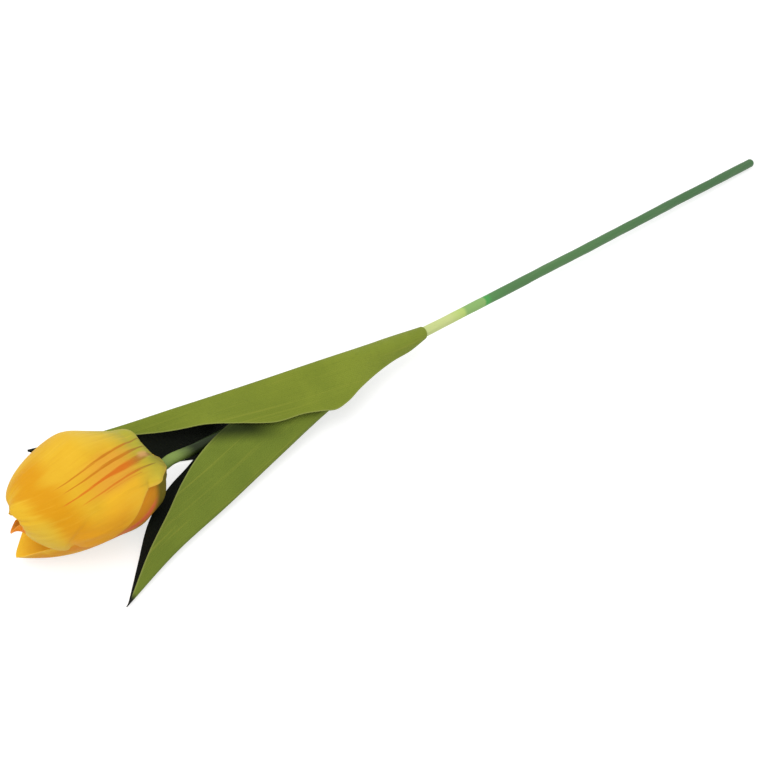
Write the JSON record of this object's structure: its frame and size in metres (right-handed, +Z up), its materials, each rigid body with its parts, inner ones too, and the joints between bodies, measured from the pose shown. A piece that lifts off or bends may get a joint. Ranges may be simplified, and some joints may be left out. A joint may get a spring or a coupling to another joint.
{
  "type": "tulip",
  "caption": "Cut tulip lying on its side: a closed egg-shaped flower on a slender stem, with long pointed leaves folded along their keels.",
  "frame": {"origin": "under the middle of the whole flower, on the surface that it lies on", "axes": "+X along the stem towards its cut end, +Z up, +Y to the side away from the lower leaf"},
  "size_m": [0.446, 0.077, 0.0483],
  "materials": {
    "stem_green": "satin green plastic, paler and yellower for a short way where the leaves let go of it",
    "leaf_green": "matt olive cloth with fine lengthwise ribs, darker inside the fold",
    "petal_yellow": "matt yellow cloth, greenish at the foot, with printed orange and red streaks",
    "heart_green": "pale green plastic",
    "pollen_brown": "dull dark brown plastic"
  },
  "bodies": {
    "root": {"stem": "stem_green", "leaf_upper": "leaf_green", "leaf_lower": "leaf_green", "petal_outer_near": "petal_yellow", "petal_outer_under": "petal_yellow", "petal_outer_far": "petal_yellow", "petal_inner_near": "petal_yellow", "petal_inner_under": "petal_yellow", "petal_inner_top": "petal_yellow", "pistil": "heart_green", "stamen_1": "pollen_brown", "stamen_2": "pollen_brown", "stamen_3": "pollen_brown", "stamen_4": "pollen_brown", "stamen_5": "pollen_brown", "stamen_6": "pollen_brown"}
  },
  "joints": []
}
